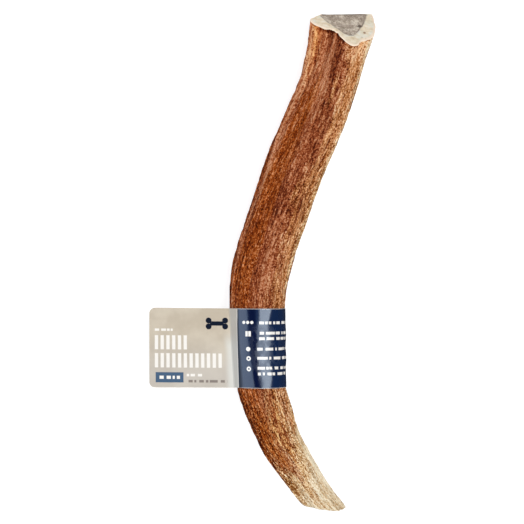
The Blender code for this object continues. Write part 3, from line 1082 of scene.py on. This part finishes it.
def tight_loop(share, fold):
    """The label's inside at a share of its height: drawn tight round the antler from the fold,
    over the top, and straight from edge to edge where the antler is hollow."""
    spanned = (1 - share) * EDGE_OUTLINES[0] + share * EDGE_OUTLINES[1]
    points = np.vstack([antler_outline(LABEL_TOP - share * LABEL_HEIGHT), spanned, fold])
    hull = points[convex_hull_2d(points.tolist())][::-1]
    hull = np.roll(hull, -int(np.argmin(np.linalg.norm(hull - fold, axis=1))), axis=0)
    loop = resampled(np.vstack([hull, hull[:1]]), LOOP_COLUMNS + 1)
    for _ in range(LOOP_SMOOTHINGS):
        loop[1:-1] = (loop[:-2] + 2 * loop[1:-1] + loop[2:]) / 4
    run = lengths(loop)
    out = outwards(loop)
    for top, bottom, wave in BULGES:
        middle, half, height = (1 - share) * np.array(top) + share * np.array(bottom)
        height += wave * math.cos(FULL_TURN * BULGE_WAVES * share)
        reach = np.clip((run - middle) / half, -1, 1)
        loop += (height * np.cos(reach * math.pi / 2) ** 2)[:, None] * out
    return loop


def label_row(level, settings):
    """The strip at one level, from the front of the flag's end round to its back."""
    share = level / LABEL_HEIGHT
    fold = (1 - share) * np.array(FOLD_TOP) + share * np.array(FOLD_BOTTOM)
    inset = FLAG_RADIUS - min(level, LABEL_HEIGHT - level, FLAG_RADIUS)
    left = FLAG_END_X + settings.paper / MM + FLAG_RADIUS - math.sqrt(FLAG_RADIUS**2 - inset**2)
    reach = np.linspace(0, 1, FLAG_COLUMNS, endpoint=False)[:, None]
    flag = (1 - reach) * np.array((left, FLAG_END_Z)) + reach * fold
    flag[:, 1] += FLAG_BOW * np.sin(math.pi * reach[:, 0]) * math.cos(FLAG_TWIST * share)
    gap = np.array((0, PLY_GAP))
    loop = tight_loop(share, fold) + np.linspace(gap, -gap, LOOP_COLUMNS + 1)
    path = np.vstack([flag + gap, loop, flag[::-1] - gap])
    run = lengths(path) + (left - FLAG_END_X)
    return path + paper_waves(settings, run, level)[:, None] * outwards(path), run


def paper_waves(settings, run, level):
    """How far the paper stands off, in waves that die out at the flag."""
    waves = sum(
        math.cos(WAVE_PITCH * (k + 1) * level + 2.3 * k) * np.cos(run / (5 + 2 * k) + 1.7 * k)
        for k in range(WAVE_COUNT)
    )
    return settings.wave / MM * waves * smooth(44, 52, run) * smooth(136, 128, run)


def build_label(settings):
    """The printed label in place of its plain solid."""
    levels = label_levels()
    columns = 2 * FLAG_COLUMNS + LOOP_COLUMNS
    piece, column, row = rolled_grid("printed_label", columns, len(levels) - 1)
    paths, measured = zip(*(label_row(level, settings) for level in levels))
    section = np.array(paths)[row, column]
    run = np.array(measured)[row, column]
    depth = levels[row] + settings.skew / MM * run / STRIP_LENGTH
    place(piece, np.stack([section[:, 0], LABEL_TOP - depth, section[:, 1]], axis=1))
    corners = numbers(piece.data.loops, "vertex_index", 1).astype(int)
    printed = piece.data.uv_layers[0]
    printed.name = "print"
    where = np.stack([run / STRIP_LENGTH, levels[row] / LABEL_HEIGHT], axis=1)[corners]
    printed.data.foreach_set("uv", where.astype(np.float32).ravel())
    for finish in (print_finish(settings), paper_finish(settings)):
        piece.data.materials.append(finish)
    thick = piece.modifiers.new("paper", "SOLIDIFY")
    thick.thickness = settings.paper
    thick.offset = 1
    thick.use_even_offset = True
    thick.material_offset = thick.material_offset_rim = 1
    bpy.ops.object.modifier_apply(modifier=thick.name)
    bpy.ops.object.shade_smooth_by_angle(angle=math.radians(40))
    return piece


def floor_finish():
    """A plain pale table top."""
    grey, glow = (0.35, 0.35, 0.35, 1), (1, 1, 1, 1)
    top = Surface("table_top")
    return top.finish(base_color=grey, roughness=0.9, emission_color=glow, emission_strength=0.84)


def add_softbox(name, position, width, length, brightness, colour=(1, 1, 1)):
    """A soft light that faces the chew."""
    made = bpy.data.lights.new(name, "AREA")
    made.shape = "RECTANGLE"
    made.size = width
    made.size_y = length
    made.color = colour
    made.energy = brightness * math.pi * width * length
    lamp = bpy.data.objects.new(name, made)
    lamp.location = position
    lamp.rotation_euler = Vector(position).to_track_quat("Z", "Y").to_euler()
    bpy.context.scene.collection.objects.link(lamp)


def add_floor():
    """A wide table under the chew."""
    deselect_all()
    bpy.ops.mesh.primitive_plane_add(size=6, location=(0, 0, -0.0002))
    floor = new_piece("table")
    floor.data.materials.append(floor_finish())
    floor.visible_glossy = False  # the label's gloss mirrors the dark room and not the table


def add_camera(settings):
    """A camera that looks straight down."""
    made = bpy.data.cameras.new("camera")
    made.lens = settings.lens
    made.sensor_width = 36
    camera = bpy.data.objects.new("camera", made)
    camera.location = (*(SHIFT[:2] * MM), settings.camera_height)
    bpy.context.scene.collection.objects.link(camera)
    bpy.context.scene.camera = camera


class CHEW_OT_add_antler(bpy.types.Operator):
    """Models the sawn antler"""

    bl_idname = "chew.add_antler"
    bl_label = "Add antler"

    def execute(self, context):
        piece = build_antler(context.scene.chew_antler)
        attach(piece, "root")
        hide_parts("antler")
        return {"FINISHED"}


class CHEW_OT_add_label(bpy.types.Operator):
    """Models the printed paper label"""

    bl_idname = "chew.add_label"
    bl_label = "Add label"

    def execute(self, context):
        piece = build_label(context.scene.chew_label)
        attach(piece, "root")
        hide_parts("label")
        return {"FINISHED"}


class CHEW_OT_add_stage(bpy.types.Operator):
    """Adds the table, the lights and the camera"""

    bl_idname = "chew.add_stage"
    bl_label = "Add stage"

    def execute(self, context):
        settings = context.scene.chew_stage
        add_floor()
        add_softbox("key", (0.47, -0.1, 1.17), 1.36, 0.7, settings.key, (0.97, 1.0, 1.05))
        add_softbox("card", (-0.89, 0, 0.42), 1.06, 1.1, settings.side, (0.92, 1.0, 1.12))
        add_softbox("far_end", (0, 1.1, 0.85), 1.2, 0.7, settings.ends)
        add_softbox("near_end", (0, -1.1, 0.85), 1.2, 0.7, settings.ends)
        world = bpy.data.worlds.new("room")
        world.use_nodes = True
        sky = world.node_tree.nodes["Background"].inputs
        sky["Color"].default_value = (1, 1, 1, 1)
        sky["Strength"].default_value = settings.air
        context.scene.world = world
        context.scene.view_settings.view_transform = "Standard"
        add_camera(settings)
        return {"FINISHED"}


class CHEW_PT_panel(bpy.types.Panel):
    """Buttons and settings for the chew"""

    bl_idname = "CHEW_PT_panel"
    bl_label = "Elk antler chew"
    bl_space_type = "VIEW_3D"
    bl_region_type = "UI"
    bl_category = "Chew"

    def draw(self, context):
        for group, (settings, button) in GROUPS.items():
            box = self.layout.box()
            for name in settings.__annotations__:
                box.prop(getattr(context.scene, group), name)
            box.operator(button.bl_idname)


GROUPS = {
    "chew_antler": (AntlerSettings, CHEW_OT_add_antler),
    "chew_label": (LabelSettings, CHEW_OT_add_label),
    "chew_stage": (StageSettings, CHEW_OT_add_stage),
}
CLASSES = (*(made for pair in GROUPS.values() for made in pair), CHEW_PT_panel)


def register():
    """Adds the settings, the operators and the panel to Blender."""
    for made in CLASSES:
        bpy.utils.register_class(made)
    for name, (group, _) in GROUPS.items():
        setattr(bpy.types.Scene, name, bpy.props.PointerProperty(type=group))


def unregister():
    """Takes them out again."""
    for name in GROUPS:
        delattr(bpy.types.Scene, name)
    for made in reversed(CLASSES):
        bpy.utils.unregister_class(made)


def main():
    """Builds the chew and its stage."""
    register()
    bpy.ops.chew.add_antler()
    bpy.ops.chew.add_label()
    bpy.ops.chew.add_stage()


if __name__ == "__main__":
    main()
